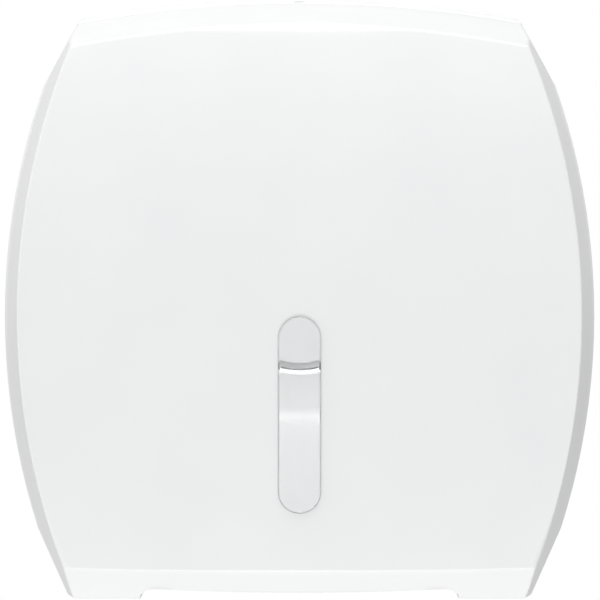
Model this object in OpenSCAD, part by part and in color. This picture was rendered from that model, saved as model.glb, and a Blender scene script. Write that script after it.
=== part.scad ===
// Wall dispenser for one jumbo toilet roll.
// The origin is on the wall plane at the roll spindle's axis: +X right, +Y into the wall, +Z up.
// A shallow back plate screws to the wall. A barrel-faced cover hinges on it at the bottom edge,
// locks at the top edge, and lets the paper out through a notch between its two feet.

/* [Casing] */
// Overall width, at the wall
body_w = 274.4; // [262:0.2:300]
// Height of the top edge above the spindle axis
body_top = 139.8; // [136:0.2:150]
// Depth of the feet below the spindle axis
body_bottom = 136; // [134:0.5:145]
// Overall depth, from the wall to the middle of the face
body_d = 125; // [122:0.5:140]
// Thickness of the moulded walls
wall = 3; // [2.4:0.1:3.4]
// Radius of the bowed sides, at the wall
side_r = 323.5; // [300:0.5:420]
// Depth below the spindle axis of the widest point of the sides
side_drop = 7.1; // [0:0.1:12]
// Draft of the sides, in degrees
side_draft = 4.4; // [3:0.1:5]
// Radius of the bowed top edge, at the wall
top_r = 570; // [500:5:800]
// Fall of the top surface towards the face, in degrees
top_fall = 7.55; // [5:0.05:8]
// Radius of the barrel-shaped face
face_r = 700; // [600:5:1000]
// Distance below the spindle axis at which the face stands out furthest
face_drop = 3; // [0:0.5:8]
// Height of each slanted top corner
top_corner_h = 40.2; // [35:0.2:44]
// Radius that softens the middle of the edge between the top and the face
top_edge_r = 6.5; // [4:0.5:8]
// Angle of the top corners' outward normal above horizontal
top_corner_angle = 28.5; // [26:0.5:31]
// Height of each slanted bottom corner
bottom_corner_h = 29.9; // [26:0.1:33]
// Angle of the bottom corners' outward normal below horizontal
bottom_corner_angle = 24.2; // [22:0.2:27]
// Draft of the four corners, in degrees
corner_draft = 2.1; // [1:0.1:2.6]
// Distance from the wall at which the underside turns up to the face
lip_y = 90; // [86:0.5:92]
// Slant of the lip under the face, in degrees
lip_angle = 29; // [26:0.5:32]
// Sideways bow of the lip, as a radius
lip_r = 3200; // [2800:100:6000]

/* [Back plate] */
// Depth of the back plate's rim, up to the parting line
tray_d = 18; // [17:0.5:20]
// Gap at the parting line
part_gap = 0.5; // [0.4:0.1:1]
// Height of the lip that the cover slides over
lip_h = 4; // [3:0.5:5]
// Thickness of that lip
lip_t = 1.8; // [1.4:0.1:2]
// Sideways distance between the wall screws
screw_dx = 170; // [150:1:180]
// Upright distance between the wall screws
screw_dz = 150; // [130:1:160]
// Diameter of the wall screw holes
screw_hole_d = 5.5; // [4.5:0.1:6.5]
// Diameter of the pads round the wall screw holes
screw_pad_d = 20; // [16:0.5:22]
// Height of those pads above the wall
screw_pad_h = 6; // [5:0.5:7]
// Thickness of the stiffening ribs
rib_t = 1.8; // [1.2:0.1:2.4]
// Height of the stiffening ribs above the wall
rib_h = 8; // [6:0.5:9]

/* [Roll carrier] */
// Height of the round boss above the wall
boss_h = 11; // [10:0.5:12]
// Diameter of the boss's flat face
boss_d = 101.2; // [96:0.2:106]
// Radius of the boss's rounded shoulder
boss_round = 7; // [5:0.5:7.5]
// Diameter of the spindle
spindle_d = 16; // [12:0.5:18]
// Diameter of the spindle's flange
flange_d = 44; // [42:0.5:48]
// Thickness of the spindle's flange
flange_t = 3; // [2.5:0.5:4]
// Diameter of the hub, for small cores
hub_d = 57.2; // [54:0.2:60]
// Length of the hub, without its cap
hub_l = 83; // [78:0.5:84]
// Wall thickness of the hub
hub_wall = 2.4; // [2:0.1:3]
// Outer diameter of the core adapter
adapter_d = 67.4; // [66:0.2:72]
// Wall thickness of the core adapter
adapter_wall = 1.8; // [1.4:0.1:2.2]
// Number of ribs in the hub and in the adapter
hub_ribs = 6; // [6:6:12]

/* [Sight window] */
// Width of the window
window_w = 19.9; // [16:0.1:24]
// Height of the window
window_h = 89.4; // [70:0.2:95]
// Depth of the window's centre below the spindle axis
window_drop = 52; // [48:0.5:54]
// Distance that the lens stands out of the face
lens_proud = 1; // [0.5:0.1:1.5]
// Width of the lens's flange, behind the cover
lens_flange = 3.5; // [3:0.1:4]
// Thickness of that flange
lens_flange_t = 1.6; // [1.2:0.1:2]
// Width of the retaining frame beyond the flange
retainer_rim = 6.5; // [6:0.1:8]
// Thickness of the retaining frame
retainer_t = 3.2; // [3:0.1:4]

/* [Paper outlet] */
// Width of the notch between the feet
outlet_w = 145.2; // [135:0.2:148]
// Distance from the wall of the notch's front edge, at its ends
outlet_y = 97; // [96:0.5:99]
// Corner radius of the notch
outlet_round = 7; // [5:0.5:8]
// Backward bow of the notch's front edge, as a radius
outlet_bow_r = 1070; // [900:10:1400]
// Height of the back plate's arch above the feet
arch_h = 5; // [4.5:0.5:7]
// Length of the tear blades
blade_l = 51; // [42:1.5:52.5]
// Width of the tear blades behind their teeth
blade_w = 7; // [6:0.5:8]
// Thickness of the tear blades
blade_t = 0.8; // [0.6:0.1:1]
// Length of one tooth
tooth_pitch = 3; // [2.5:0.5:4]
// Depth of the teeth
tooth_h = 2.2; // [1.5:0.1:2.4]

/* [Hinge] */
// Distance of each hinge from the casing's widest point
hinge_inset = 47.2; // [45.2:0.1:49.2]
// Radius of the cover's rounded edge round the hinge axis
hinge_edge_r = 9; // [8.5:0.1:10]
// Diameter of the hinge pins
pin_d = 5; // [4:0.1:5.5]
// Width of the cover's knuckles
knuckle_w = 11; // [9:0.5:12]
// Width of the back plate's hinge lugs
lug_w = 4.7; // [4:0.1:5]

/* [Lock] */
// Diameter of the lock barrel
barrel_d = 12; // [11.4:0.1:12.4]
// Diameter of the lock plug
plug_d = 9; // [8:0.1:9.2]
// Reach of the lock cam from the lock's axis
cam_reach = 15.5; // [15.2:0.1:16.2]
// Width of the lock cam
cam_w = 10; // [9:0.5:11]
// Thickness of the lock cam
cam_t = 2; // [1.6:0.1:2.2]
// Diameter of the hole for the key, in the top edge
key_hole_d = 5.5; // [4:0.1:7]

/* [Clearances] */
// Radial clearance of the running fits
run_gap = 0.05; // [0.02:0.01:0.1]
// Gap between parts that move past each other
move_gap = 0.3; // [0.3:0.05:0.4]

/* [Hidden] */
$fn = 96;
wide_fn = 256;
reach = 700;
over = 1;
bite = 0.2;

// Casing
side_cx = side_r - body_w / 2;
side_fall = tan(side_draft);
top_cz = body_top - top_r;
top_slope = tan(top_fall);
top_kink_z = body_top - top_corner_h;
bottom_kink_z = -body_bottom + bottom_corner_h;
face_cy = face_r - body_d;
top_edge_fit = 0.05;
top_edge_steps = 4;
cover_y = tray_d + part_gap;

// Back plate
lip_root = 5;
pad_taper = 1;
boss_ribs = 6;
floor_rib_turns = [0, 60, 80, 100, 120, 180, 240, 300];

// Hinge: the cover's lower rear edge is rounded about this axis, so it turns clear of the plate
hinge_y = -(cover_y + hinge_edge_r);
hinge_z = -body_bottom + hinge_edge_r;
hinge_x = body_w / 2 - hinge_inset;
floor_z = -body_bottom + wall;
knuckle_r = hinge_edge_r - wall;
lug_r = knuckle_r - 0.5;
lug_in = knuckle_w / 2 + move_gap;
lug_out = lug_in + lug_w;
pin_head_d = pin_d + 3;
pin_head_t = 1.5;

// Roll carrier
hub_y = boss_h + 3;
bore_r = spindle_d / 2 + run_gap;
bore_wall = 3;
spindle_end = hub_y + hub_l - 7;
hub_end = hub_y + hub_l;
cap_t = 3;
cap_round = 1;
cap_plug_l = 3;
cap_plug_t = 1.6;
adapter_y = hub_y + 3;
adapter_end = hub_end + 2;
hub_rib_t = 2;
hub_rib_y = spindle_end - 4;
adapter_rib_y = adapter_end - 3;
seat_r = flange_d / 2 + 2;
flange_pcd = flange_d - 11;
small_screw_d = 3.4;
small_head_d = 6.6;
small_head_h = 2.2;
small_screw_tip = 2;
hub_screw_d = 4;
hub_screw_head_d = 8;
hub_screw_head_h = 2.4;
hub_screw_l = 18;
head_taper = 0.7;
driver_slot = [4, hub_screw_head_h, 0.9];
thrust_d = spindle_d + 7;
washer_d = spindle_d + 8;
washer_t = 1.5;

// Sight window
window_z = -window_drop;
stake_d = 3;
stake_head_d = stake_d + 2;
stake_head_t = 1.2;
stake_x = window_w / 2 + lens_flange + retainer_rim / 2;
stake_dz = window_h / 3;
fit_gap = 0.1;
frame_gap = 0.5;
face_rib_x = boss_d / 2 - 5;
face_rib_h = 4;

// Paper outlet
outlet_bow = 2;
blade_tip_x = outlet_w / 2 - tooth_h;
blade_root_x = outlet_w / 2;
blade_y = lip_y - 4;
rivet_d = 2.6;
rivet_head_d = 5;
rivet_head_h = 1.4;
rivet_x = blade_root_x + blade_w / 2;
rivet_inset = blade_l / 6;
rivet_depth = wall - 0.8;

// Lock: screwed up into a boss under the top rim, with only a key hole showing above it. Its cam
// swings forward into the cover.
lock_y = -(tray_d + 2) / 2;
lock_skin = 1.3;
lock_top = body_top + (lock_y - barrel_d / 2) * top_slope - lock_skin;
lock_boss_t = 3.8;
lock_boss_d = barrel_d + 6.4;
plug_recess = 1;
plug_head_d = plug_d + 1.4;
plug_head_t = 0.7;
plug_top = lock_top - plug_recess + fit_gap + plug_head_t;
key_slot = [plug_d - 2.5, 1.3, 6];
nut_t = 3;
nut_af = 14;
nut_top = lock_top - lock_boss_t;
barrel_bottom = nut_top - nut_t - 1;
cam_top = barrel_bottom - move_gap;
cam_tab_t = 2.4;
cam_tab_h = 3.4;
tenon_d = 6;
cam_screw_d = 2.4;
cam_screw_l = 5;
cam_screw_head_d = 8;
cam_screw_head_h = 1.8;
keeper_w = 8;
keeper_t = 3.2;
keeper_front = lock_y - cam_reach + cam_tab_t + 0.6;
keeper_bottom = cam_top + 0.5;

// ---- Helpers ----

// A cylinder or cone along -Y, from y = -from to y = -to
module along_y(r1, r2, from, to) {
    translate([0, -from, 0])
        rotate([90, 0, 0])
            cylinder(r1 = r1, r2 = r2, h = to - from);
}

// A cylinder along +X
module along_x(r, x, l) {
    translate([x, 0, 0])
        rotate([0, 90, 0])
            cylinder(r = r, h = l);
}

// A flat profile, drawn as seen from the front, made solid from y = -from to y = -to
module front_profile(from, to) {
    translate([0, -from, 0])
        rotate([90, 0, 0])
            linear_extrude(height = to - from)
                children();
}

// Everything between two distances from the wall
module slab(from, to) {
    translate([-reach / 2, -to, -reach / 2])
        cube([reach, to - from, reach]);
}

// A part and its mirror image across the middle
module both_sides() {
    children();
    mirror([1, 0, 0])
        children();
}

// Copies at even turns about the spindle axis
module around(count) {
    for (copy = [0 : count - 1])
        rotate([0, copy * 360 / count, 0])
            children();
}

// A stadium with round ends, standing upright
module pill(w, h) {
    square([w, h - w], center = true);
    for (end = [-1, 1])
        translate([0, end * (h - w) / 2])
            circle(d = w);
}

// ---- Casing shape ----

// Inside of one bowed side: a cone whose axis lies on the far side
module side_form(side, inset) {
    rear_r = side_r - inset;
    translate([-side * side_cx, 0, -side_drop])
        along_y(rear_r + over * side_fall, rear_r - reach / 4 * side_fall, -over, reach / 4, $fn = wide_fn);
}

// Inside of the bowed top, which falls towards the face
module top_form(inset) {
    rear_r = top_r - inset;
    translate([0, 0, top_cz])
        along_y(rear_r + over * top_slope, rear_r - reach / 4 * top_slope, -over, reach / 4, $fn = wide_fn);
}

// Inside of the barrel face
module face_form(inset) {
    translate([0, face_cy, -face_drop])
        along_x(face_r - inset, -reach / 2, reach, $fn = wide_fn);
}

// In the casing's middle plane, the axis of the round between the top and the face lies one radius
// inside both. Its height follows from its distance y from the wall.
function top_edge_z(y) = body_top - y * top_slope - top_edge_r / cos(top_fall) - top_edge_fit;

// That distance, brought nearer to the face's true curve at each step
function top_edge_y(y, steps) =
    steps == 0
        ? y
        : top_edge_y(
            sqrt(pow(face_r - top_edge_r, 2) - pow(top_edge_z(y) + face_drop, 2)) - face_cy,
            steps - 1
        );

// What is cut off outside the soft middle of the edge between the top and the face
module top_edge_cut(inset) {
    axis_y = top_edge_y(body_d - top_edge_r, top_edge_steps);
    axis_z = top_edge_z(axis_y);
    face_turn = atan((axis_z + face_drop) / (axis_y + face_cy));
    span = 4 * top_edge_r;
    to_face = span * [cos(face_turn), sin(face_turn)];
    to_top = span * [sin(top_fall), cos(top_fall)];
    translate([0, -axis_y, axis_z])
        rotate([90, 0, -90])
            difference() {
                translate([0, 0, -body_w / 4])
                    linear_extrude(height = body_w / 2)
                        polygon([[0, 0], to_face, to_face + to_top, to_top]);
                cylinder(r = top_edge_r - inset, h = body_w, center = true);
            }
}

// Half-width of the bowed sides at a height, at the wall
function side_x(z) = sqrt(side_r * side_r - (z + side_drop) * (z + side_drop)) - side_cx;

// Inside of one slanted corner: a drafted plane through the kink in the side
module corner_form(side, angle, kink_z, inset) {
    distance = side_x(kink_z) * cos(angle) + kink_z * sin(angle);
    mirror([side < 0 ? 1 : 0, 0, 0])
        rotate([0, -angle, 0])
            translate([distance - inset, 0, 0])
                rotate([0, 0, -corner_draft])
                    translate([-reach, -reach / 2, -reach / 2])
                        cube(reach);
}

// Inside of the slanted lip, which is bowed a little from side to side
module lip_form(inset) {
    translate([0, -lip_y, -body_bottom])
        rotate([-lip_angle, 0, 0])
            translate([0, 0, lip_r])
                translate([0, reach / 2, 0])
                    along_y(lip_r - inset, lip_r - inset, 0, reach, $fn = wide_fn);
}

// The whole casing, drawn in by an inset on every side but the wall's
module envelope(inset = 0) {
    difference() {
        plain_envelope(inset);
        top_edge_cut(inset);
    }
}

module plain_envelope(inset) {
    intersection() {
        intersection_for (side = [-1, 1])
            side_form(side, inset);
        top_form(inset);
        face_form(inset);
        intersection_for (side = [-1, 1])
            corner_form(side, top_corner_angle, top_kink_z, inset);
        intersection_for (side = [-1, 1])
            corner_form(side, -bottom_corner_angle, bottom_kink_z, inset);
        lip_form(inset);
        translate([-reach / 2, -reach / 2, -body_bottom + inset])
            cube(reach);
    }
}

// ---- Back plate ----

// Arch under the back plate, behind the paper outlet
module arch(inset = 0) {
    width = outlet_w + 2 * inset;
    translate([-width / 2, -reach / 2, -body_bottom - over])
        cube([width, reach, arch_h + inset + over]);
}

// The rim and floor
module tray() {
    difference() {
        intersection() {
            envelope();
            slab(0, tray_d);
        }
        arch();
        difference() {
            intersection() {
                envelope(wall);
                slab(wall, tray_d + over);
            }
            arch(wall);
        }
    }
}

// A ring that follows the casing between two insets and two distances from the wall
module follow_ring(outer, inner, from, to) {
    intersection() {
        difference() {
            envelope(outer);
            envelope(inner);
        }
        slab(from, to);
        translate([-reach / 2, -reach / 2, bottom_kink_z])
            cube(reach);
    }
}

// Lip round the top and sides that the closed cover slides over, open where the lock's cam swings
module cover_lip() {
    step = wall + part_gap;
    difference() {
        union() {
            follow_ring(wall - bite, step + lip_t, tray_d - lip_root, tray_d - over);
            follow_ring(step, step + lip_t, tray_d - 2 * over, tray_d + lip_h);
        }
        translate([-cam_reach, -reach / 2, top_kink_z])
            cube([2 * cam_reach, reach, reach]);
    }
}

// Profile of a disc with a rounded shoulder
module disc_profile(r, h, shoulder) {
    square([r, h]);
    square([r + shoulder, h - shoulder]);
    translate([r, h - shoulder])
        circle(r = shoulder);
}

// Solid of revolution about the spindle axis, from the wall to the front
module turned() {
    rotate([90, 0, 0])
        rotate_extrude()
            intersection() {
                children();
                square(reach);
            }
}

// Round boss that keeps the roll off the plate, cored out behind
module boss() {
    core_h = boss_h - wall;
    core_round = boss_round - wall + over;
    difference() {
        turned()
            disc_profile(boss_d / 2, boss_h, boss_round);
        difference() {
            translate([0, over, 0])
                turned()
                    disc_profile(boss_d / 2 - over, core_h + over, core_round);
            along_y(seat_r, seat_r, 0, boss_h);
            around(boss_ribs)
                translate([0, -boss_h, -rib_t / 2])
                    cube([boss_d / 2 + boss_round, boss_h, rib_t]);
        }
    }
}

// Ribs from the boss to the rim
module floor_ribs() {
    intersection() {
        union()
            for (turn = floor_rib_turns)
                rotate([0, -turn, 0])
                    translate([boss_d / 2 + boss_round - over, -rib_h, -rib_t / 2])
                        cube([reach / 2, rib_h - over, rib_t]);
        difference() {
            envelope(wall - bite);
            arch(wall - bite);
        }
        slab(0, rib_h);
    }
}

// Places of the wall screws
module at_wall_screws() {
    for (x = [-1, 1])
        for (z = [-1, 1])
            translate([x * screw_dx / 2, 0, z * screw_dz / 2])
                children();
}

// One hinge lug, reaching forward from the rim to the hinge axis
module hinge_lug(x) {
    translate([x, hinge_y, hinge_z])
        along_x(lug_r, 0, lug_w);
    translate([x, hinge_y, hinge_z - lug_r])
        cube([lug_w, -hinge_y - over, 2 * lug_r]);
    translate([x, -tray_d, floor_z - over])
        cube([lug_w, tray_d - over, 2 * lug_r]);
}

module hinge_lugs() {
    both_sides() {
        hinge_lug(hinge_x + lug_in);
        hinge_lug(hinge_x - lug_out);
    }
}

// Thick seat for the lock, under the top rim
module lock_boss() {
    intersection() {
        translate([0, lock_y, nut_top])
            cylinder(d = lock_boss_d, h = lock_boss_t);
        slab(over, tray_d);
    }
}

module back_plate() {
    color("white")
        difference() {
            union() {
                difference() {
                    tray();
                    along_y(boss_d / 2 - over, boss_d / 2 - over, -over, boss_h);
                }
                boss();
                cover_lip();
                floor_ribs();
                hinge_lugs();
                lock_boss();
                at_wall_screws()
                    along_y(screw_pad_d / 2, screw_pad_d / 2 - pad_taper, wall - over, screw_pad_h);
            }
            at_wall_screws()
                along_y(screw_hole_d / 2, screw_hole_d / 2, -over, screw_pad_h + over);
            along_y(flange_d / 2 + fit_gap, flange_d / 2 + fit_gap, boss_h - flange_t, boss_h + over);
            at_flange_screws()
                along_y(small_screw_d / 2, small_screw_d / 2, over, boss_h);
            both_sides()
                translate([hinge_x - reach / 10, hinge_y, hinge_z])
                    along_x(pin_d / 2 + run_gap, 0, reach / 5);
            translate([0, lock_y, nut_top - over])
                cylinder(d = barrel_d + 2 * run_gap, h = lock_boss_t + over);
            translate([0, lock_y, nut_top])
                cylinder(d = key_hole_d, h = reach / 10);
        }
}

// ---- Front cover ----

// Prism of the paper outlet, with round corners and a bowed front edge
module outlet_cut() {
    back_y = outlet_y - outlet_round;
    translate([0, 0, -body_bottom - over])
        linear_extrude(height = body_bottom / 4)
            difference() {
                union() {
                    translate([-outlet_w / 2, -back_y])
                        square([outlet_w, back_y]);
                    translate([-outlet_w / 2 + outlet_round, -outlet_y])
                        square([outlet_w - 2 * outlet_round, outlet_y]);
                    for (side = [-1, 1])
                        translate([side * (outlet_w / 2 - outlet_round), -back_y])
                            circle(r = outlet_round);
                }
                translate([0, -outlet_y - outlet_bow_r + outlet_bow])
                    circle(r = outlet_bow_r, $fn = wide_fn);
            }
}

// A pill-shaped shell that follows the face, between two depths behind it
module face_pill(grow, outer, inner) {
    intersection() {
        difference() {
            face_form(outer);
            face_form(inner);
        }
        translate([0, 0, window_z])
            front_profile(body_d / 2, body_d + over + lens_proud)
                pill(window_w + 2 * grow, window_h + 2 * grow);
    }
}

// Places of the stakes that hold the window's frame
module at_stakes() {
    for (side = [-1, 1])
        for (up = [-1, 1])
            translate([side * stake_x, 0, window_z + up * stake_dz])
                children();
}

// Heat-formed stakes, with a head behind the frame
module stakes() {
    intersection() {
        at_stakes()
            along_y(stake_d / 2, stake_d / 2, body_d / 2, body_d);
        difference() {
            face_form(wall - bite);
            face_form(wall + retainer_t + stake_head_t);
        }
    }
    intersection() {
        at_stakes()
            along_y(stake_head_d / 2, stake_head_d / 2, body_d / 2, body_d);
        difference() {
            face_form(wall + retainer_t + fit_gap);
            face_form(wall + retainer_t + stake_head_t);
        }
    }
}

// Upright ribs behind the face
module face_ribs() {
    intersection() {
        both_sides()
            translate([face_rib_x, -body_d, -body_bottom])
                cube([rib_t, body_d / 2, body_bottom + body_top]);
        difference() {
            envelope(wall - bite);
            face_form(wall + face_rib_h);
        }
    }
}

// One knuckle on the cover's floor
module knuckle() {
    translate([hinge_x - knuckle_w / 2, hinge_y, hinge_z]) {
        along_x(knuckle_r, 0, knuckle_w);
        translate([0, -knuckle_r, -knuckle_r - bite])
            cube([knuckle_w, 2 * knuckle_r, knuckle_r]);
    }
}

// Room in the cover's floor for the lugs, up to each knuckle's flanks
module lug_notches() {
    notch_w = lug_w + 2 * move_gap;
    for (x = [hinge_x + knuckle_w / 2, hinge_x - knuckle_w / 2 - notch_w])
        translate([x, hinge_y - knuckle_r - part_gap, -body_bottom - over])
            cube([notch_w, -hinge_y, hinge_edge_r]);
}

// What is cut off outside the round edge about the hinge axis
module hinge_edge_cut() {
    translate([0, hinge_y, hinge_z])
        difference() {
            translate([-reach / 2, 0, -2 * hinge_edge_r])
                cube([reach, 2 * hinge_edge_r, 2 * hinge_edge_r]);
            along_x(hinge_edge_r, -reach / 2, reach);
        }
}

// Rib that the lock's cam swings in front of
module keeper() {
    intersection() {
        translate([-keeper_w / 2, keeper_front, keeper_bottom])
            cube([keeper_w, keeper_t, reach / 10]);
        envelope(wall - bite);
        slab(cover_y, body_d);
    }
}

// Places of the rivets in the right-hand blade
module at_rivets() {
    for (y = [-blade_y + rivet_inset, -blade_y + blade_l - rivet_inset])
        translate([rivet_x, y, floor_z])
            children();
}

module front_cover() {
    color("white")
        difference() {
            union() {
                difference() {
                    intersection() {
                        envelope();
                        slab(cover_y, body_d + over);
                    }
                    envelope(wall);
                    face_pill(0, -over, wall + over);
                }
                both_sides()
                    knuckle();
                keeper();
                stakes();
                face_ribs();
            }
            outlet_cut();
            hinge_edge_cut();
            both_sides() {
                lug_notches();
                translate([hinge_x - knuckle_w, hinge_y, hinge_z])
                    along_x(pin_d / 2 + run_gap, 0, 2 * knuckle_w);
                at_rivets()
                    translate([0, 0, -rivet_depth])
                        cylinder(d = rivet_d + 2 * run_gap, h = wall);
            }
        }
}

// ---- Sight window ----

module sight_window() {
    color([0.86, 0.88, 0.88, 0.5]) {
        face_pill(-fit_gap, -lens_proud, wall + fit_gap + lens_flange_t);
        face_pill(lens_flange, wall + fit_gap, wall + fit_gap + lens_flange_t);
    }
}

module window_retainer() {
    color("white")
        difference() {
            face_pill(lens_flange + retainer_rim, wall, wall + retainer_t);
            face_pill(lens_flange + fit_gap, wall - over, wall + lens_flange_t + 2 * fit_gap);
            face_pill(frame_gap, wall - over, wall + retainer_t + over);
            at_stakes()
                along_y(stake_d / 2 + run_gap, stake_d / 2 + run_gap, body_d / 2, body_d);
        }
}

// ---- Tear blades ----

// Flat outline of a blade, with its teeth towards the middle
module blade_outline() {
    back_x = blade_root_x + blade_w;
    teeth = floor(blade_l / tooth_pitch);
    polygon(concat(
        [[back_x, 0], [back_x, teeth * tooth_pitch]],
        [for (step = [2 * teeth : -1 : 0])
            [step % 2 == 0 ? blade_root_x : blade_tip_x, step * tooth_pitch / 2]]
    ));
}

module tear_blade() {
    color("silver")
        difference() {
            translate([0, -blade_y, floor_z])
                linear_extrude(height = blade_t)
                    blade_outline();
            at_rivets()
                cylinder(d = rivet_d + 2 * run_gap, h = 3 * wall, center = true);
        }
}

module tear_blade_right() {
    tear_blade();
}

module tear_blade_left() {
    mirror([1, 0, 0])
        tear_blade();
}

module blade_rivets() {
    color("silver")
        both_sides()
            at_rivets() {
                translate([0, 0, -rivet_depth])
                    cylinder(d = rivet_d, h = rivet_depth + blade_t);
                translate([0, 0, blade_t])
                    cylinder(d1 = rivet_head_d, d2 = rivet_d, h = rivet_head_h);
            }
}

// ---- Hinge pins ----

// A headed pin, pushed outwards through the lugs and the knuckle
module hinge_pin() {
    color("silver")
        translate([hinge_x, hinge_y, hinge_z]) {
            along_x(pin_d / 2, -lug_out - pin_head_t, 2 * lug_out + pin_head_t);
            along_x(pin_head_d / 2, -lug_out - pin_head_t, pin_head_t);
        }
}

module hinge_pin_right() {
    hinge_pin();
}

module hinge_pin_left() {
    mirror([1, 0, 0])
        hinge_pin();
}

// ---- Roll carrier ----

// Places of the screws in the spindle's flange
module at_flange_screws() {
    rotate([0, 90, 0])
        around(3)
            translate([flange_pcd / 2, 0, 0])
                children();
}

module spindle() {
    color("gainsboro")
        difference() {
            union() {
                along_y(flange_d / 2, flange_d / 2, boss_h - flange_t, boss_h);
                along_y(spindle_d / 2, spindle_d / 2, boss_h - over, spindle_end);
            }
            at_flange_screws()
                along_y(small_screw_d / 2 + run_gap, small_screw_d / 2 + run_gap, over, hub_y);
            along_y(hub_screw_d / 2 + run_gap, hub_screw_d / 2 + run_gap,
                    spindle_end - hub_screw_l, spindle_end + over);
        }
}

module spindle_screws() {
    color("silver")
        at_flange_screws() {
            along_y(small_head_d / 2, small_head_d / 2 - head_taper, boss_h, boss_h + small_head_h);
            along_y(small_screw_d / 2 - run_gap, small_screw_d / 2 - run_gap, small_screw_tip, boss_h + over);
        }
}

module thrust_washer() {
    color("gainsboro")
        difference() {
            along_y(thrust_d / 2, thrust_d / 2, boss_h, hub_y - move_gap);
            along_y(bore_r, bore_r, boss_h - over, hub_y);
        }
}

// A drum on a bearing tube, joined by ribs and a rear web
module hub() {
    drum_r = hub_d / 2;
    color("white")
        difference() {
            along_y(drum_r, drum_r, hub_y, hub_end);
            difference() {
                along_y(drum_r - hub_wall, drum_r - hub_wall, hub_y + hub_wall, hub_end + over);
                along_y(bore_r + bore_wall, bore_r + bore_wall, hub_y, spindle_end - move_gap);
                around(hub_ribs)
                    translate([0, -hub_rib_y, -hub_rib_t / 2])
                        cube([drum_r, hub_rib_y, hub_rib_t]);
            }
            along_y(bore_r, bore_r, hub_y - over, hub_end);
        }
}

// Cap that snaps into the drum's mouth
module hub_cap() {
    drum_r = hub_d / 2;
    plug_r = drum_r - hub_wall - run_gap;
    color("white")
        difference() {
            union() {
                translate([0, -hub_end, 0])
                    turned()
                        disc_profile(drum_r - cap_round, cap_t, cap_round);
                along_y(plug_r, plug_r, hub_end - cap_plug_l, hub_end + over);
            }
            along_y(plug_r - cap_plug_t, plug_r - cap_plug_t, hub_end - cap_plug_l - over, hub_end);
        }
}

// Sleeve over the hub for wide cores
module core_adapter() {
    outer_r = adapter_d / 2;
    inner_r = hub_d / 2 + run_gap;
    drum_r = outer_r - adapter_wall;
    color("white")
        difference() {
            union() {
                difference() {
                    along_y(outer_r, outer_r, adapter_y, adapter_end);
                    along_y(drum_r, drum_r, adapter_y - over, adapter_end + over);
                }
                around(hub_ribs)
                    translate([0, -adapter_rib_y, -hub_rib_t / 2])
                        cube([outer_r - adapter_wall / 2, adapter_rib_y - adapter_y, hub_rib_t]);
            }
            along_y(inner_r, inner_r, adapter_y - over, adapter_end + over);
        }
}

module hub_washer() {
    color("silver")
        difference() {
            along_y(washer_d / 2, washer_d / 2, spindle_end, spindle_end + washer_t);
            along_y(hub_screw_d / 2 + run_gap, hub_screw_d / 2 + run_gap,
                    spindle_end - over, spindle_end + washer_t + over);
        }
}

module hub_screw() {
    head_y = spindle_end + washer_t;
    head_r = hub_screw_head_d / 2;
    color("silver")
        difference() {
            union() {
                along_y(head_r, head_r - head_taper, head_y, head_y + hub_screw_head_h);
                along_y(hub_screw_d / 2, hub_screw_d / 2, spindle_end - hub_screw_l + over, head_y + over);
            }
            translate([0, -head_y - hub_screw_head_h, 0])
                for (turn = [0, 90])
                    rotate([0, turn, 0])
                        cube(driver_slot, center = true);
        }
}

// ---- Lock ----

module at_lock() {
    translate([0, lock_y, 0])
        children();
}

module lock_barrel() {
    color("silver")
        at_lock()
            difference() {
                translate([0, 0, barrel_bottom])
                    cylinder(d = barrel_d, h = lock_top - barrel_bottom);
                translate([0, 0, barrel_bottom - over])
                    cylinder(d = plug_d + 2 * run_gap, h = reach / 10);
                translate([0, 0, lock_top - plug_recess])
                    cylinder(d = plug_head_d + 2 * fit_gap, h = reach / 10);
            }
}

module lock_nut() {
    color("silver")
        at_lock()
            difference() {
                translate([0, 0, nut_top - nut_t])
                    cylinder(d = nut_af / cos(30), h = nut_t, $fn = 6);
                translate([0, 0, nut_top - nut_t - over])
                    cylinder(d = barrel_d + 2 * run_gap, h = nut_t + 2 * over);
            }
}

// Turning core with a narrow key slot
module lock_plug() {
    color("darkgray")
        at_lock()
            difference() {
                union() {
                    translate([0, 0, cam_top])
                        cylinder(d = plug_d, h = plug_top - cam_top);
                    translate([0, 0, plug_top - plug_head_t])
                        cylinder(d = plug_head_d, h = plug_head_t);
                    translate([0, 0, cam_top - cam_t])
                        cylinder(d = tenon_d, h = cam_t + over);
                }
                translate([0, 0, lock_top])
                    cube(key_slot, center = true);
                translate([0, 0, cam_top - cam_t - over])
                    cylinder(d = cam_screw_d + 2 * run_gap, h = cam_screw_l + 2 * over);
            }
}

// Flat arm that points left when unlocked, with a turned-up tab at its tip
module lock_cam() {
    color("silver")
        at_lock()
            difference() {
                union() {
                    translate([0, 0, cam_top - cam_t])
                        cylinder(d = cam_w, h = cam_t);
                    translate([-cam_reach, -cam_w / 2, cam_top - cam_t])
                        cube([cam_reach, cam_w, cam_t]);
                    translate([-cam_reach, -cam_w / 2, cam_top - cam_t])
                        cube([cam_tab_t, cam_w, cam_t + cam_tab_h]);
                }
                translate([0, 0, cam_top - cam_t - over])
                    cylinder(d = tenon_d + 2 * run_gap, h = cam_t + 2 * over);
            }
}

module cam_screw() {
    head_r = cam_screw_head_d / 2;
    color("silver")
        at_lock()
            translate([0, 0, cam_top - cam_t]) {
                translate([0, 0, -cam_screw_head_h])
                    cylinder(r1 = head_r - head_taper, r2 = head_r, h = cam_screw_head_h);
                cylinder(d = cam_screw_d, h = cam_screw_l);
            }
}

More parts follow.
